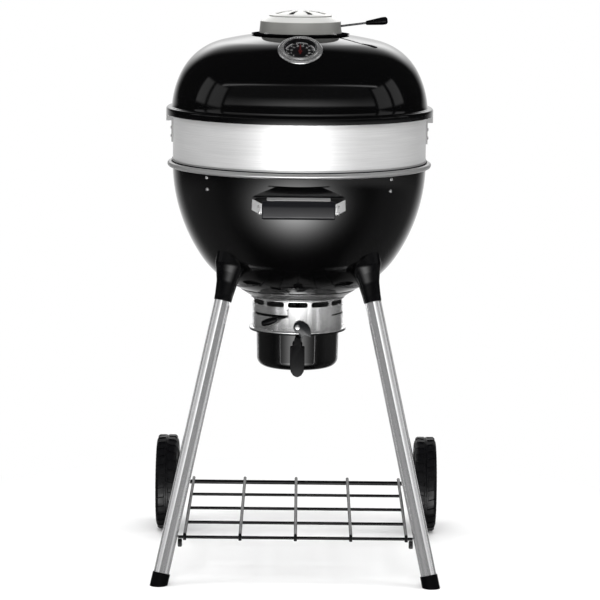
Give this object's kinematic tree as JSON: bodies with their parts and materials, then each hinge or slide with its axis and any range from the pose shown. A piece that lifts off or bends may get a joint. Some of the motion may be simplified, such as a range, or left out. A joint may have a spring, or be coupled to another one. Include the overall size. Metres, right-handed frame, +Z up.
{
  "type": "kettle charcoal grill",
  "caption": "Covered kettle charcoal grill on four splayed tube legs with wheels, wire shelf, steel band, hinged lid, vents and ash catcher.",
  "frame": {"origin": "on the ground, at the middle of the grill's footprint box", "axes": "+Z up, -Y to the front where the handle is, +X to the right of a person facing the front"},
  "size_m": [0.664, 0.74, 1.2496],
  "materials": {
    "black_enamel": "glossy porcelain enamel",
    "band_steel": "horizontally brushed stainless steel",
    "rim_steel": "satin steel",
    "vent_ring_steel": "polished sheet steel",
    "vent_cap_metal": "satin cast metal",
    "black_metal": "satin black paint",
    "black_plastic": "moulded, fine grain",
    "grip_plastic": "charcoal moulded grip",
    "socket_plastic": "satin moulded nylon",
    "leg_chrome": "bright chrome plate",
    "tyre_rubber": "moulded tread",
    "hub_plastic": "moulded wheel",
    "shelf_wire": "black coated wire",
    "grate_wire": "plated steel wire",
    "screw_steel": "zinc plated",
    "bracket_steel": "satin steel",
    "bezel_steel": "turned steel",
    "dial_face": "dark printed dial",
    "needle_red": "red enamel",
    "gauge_glass": "clear glass",
    "gasket_rubber": "soft seal",
    "lever_wire": "dark plated wire",
    "latch_metal": "dark grey metal"
  },
  "bodies": {
    "stand": {"bowl": "black_enamel", "bowl_rim_ring": "rim_steel", "steel_band": "band_steel", "spit_brackets": "bracket_steel", "grate_brackets": "bracket_steel", "bowl_screws": "screw_steel", "charcoal_grate": "grate_wire", "charcoal_grate_tabs": "bracket_steel", "cooking_grate": "grate_wire", "handle_grip": "grip_plastic", "handle_brackets": "bracket_steel", "handle_screws": "screw_steel", "handle_heat_shield": "black_metal", "bowl_collar": "vent_ring_steel", "vent_ring": "vent_ring_steel", "ash_gasket": "gasket_rubber", "latch_pivot_screw": "screw_steel", "hinge_base": "black_metal", "hinge_pin": "screw_steel", "hinge_base_screws": "screw_steel", "front_legs": "leg_chrome", "rear_legs": "leg_chrome", "rear_leg_plugs": "black_plastic", "front_feet": "black_plastic", "leg_sockets": "socket_plastic", "socket_screws": "screw_steel", "axle": "shelf_wire", "axle_nuts": "screw_steel", "shelf_cross_rods": "shelf_wire", "shelf_long_rods": "shelf_wire", "shelf_brackets": "shelf_wire", "shelf_screws": "screw_steel"},
    "lid": {"lid": "black_enamel", "lid_hinge_bracket": "black_metal", "lid_hinge_screws": "screw_steel", "vent_base_plate": "black_metal", "vent_cap": "vent_cap_metal", "vent_screws": "screw_steel", "vent_pivot_bolt": "screw_steel", "thermometer_bezel": "bezel_steel", "thermometer_case": "bezel_steel", "thermometer_dial": "dial_face", "thermometer_lens": "gauge_glass"},
    "thermometer_needle": {"thermometer_needle": "needle_red"},
    "top_damper": {"vent_damper": "bracket_steel", "vent_lever_rod": "lever_wire", "vent_lever_grip": "black_plastic"},
    "sweeper": {"sweeper_blades": "bracket_steel", "air_lever": "lever_wire", "air_lever_knob": "black_plastic"},
    "right_flap": {"grate_flap_right": "grate_wire"},
    "left_flap": {"grate_flap_left": "grate_wire"},
    "ash_bowl": {"ash_bowl": "black_enamel"},
    "ash_latch": {"latch_cam": "latch_metal", "latch_grip": "black_plastic"},
    "right_wheel": {"tyre_right": "tyre_rubber", "wheel_hub_right": "hub_plastic"},
    "left_wheel": {"tyre_left": "tyre_rubber", "wheel_hub_left": "hub_plastic"}
  },
  "joints": [
    {"name": "lid_hinge", "type": "hinge", "parent": "stand", "child": "lid", "pos_m": [0, 0.29402, 1.02], "axis": [-1, 0, 0], "range_deg": [0, 95]},
    {"name": "top_damper_turn", "type": "hinge", "parent": "lid", "child": "top_damper", "pos_m": [0, -0.01799, 1.20309], "axis": [0, 0, 1], "range_deg": [0, 45]},
    {"name": "needle_turn", "type": "hinge", "parent": "lid", "child": "thermometer_needle", "pos_m": [0, -0.21799, 1.17259], "axis": [0, 0.5402, -0.8415], "range_deg": [0, 270], "stiffness_Nm_per_rad": 0.001},
    {"name": "sweeper_turn", "type": "hinge", "parent": "stand", "child": "sweeper", "pos_m": [0, -0.01799, 0.6234], "axis": [0, 0, 1], "range_deg": [-50, 0]},
    {"name": "right_flap_hinge", "type": "hinge", "parent": "stand", "child": "right_flap", "pos_m": [0.143, -0.01799, 0.8963], "axis": [0, -1, 0], "range_deg": [0, 100]},
    {"name": "left_flap_hinge", "type": "hinge", "parent": "stand", "child": "left_flap", "pos_m": [-0.143, -0.01799, 0.8963], "axis": [0, 1, 0], "range_deg": [0, 100]},
    {"name": "ash_bowl_drop", "type": "slide", "parent": "stand", "child": "ash_bowl", "axis": [0, 0, -1], "range_m": [0, 0.12]},
    {"name": "ash_latch_swing", "type": "hinge", "parent": "stand", "child": "ash_latch", "pos_m": [0, -0.12998, 0.5482], "axis": [0, -1, 0], "range_deg": [0, 60]},
    {"name": "right_wheel_spin", "type": "hinge", "parent": "stand", "child": "right_wheel", "pos_m": [0.306, 0.25759, 0.1124], "axis": [1, 0, 0], "continuous": true},
    {"name": "left_wheel_spin", "type": "hinge", "parent": "stand", "child": "left_wheel", "pos_m": [-0.306, 0.25759, 0.1124], "axis": [1, 0, 0], "continuous": true}
  ]
}
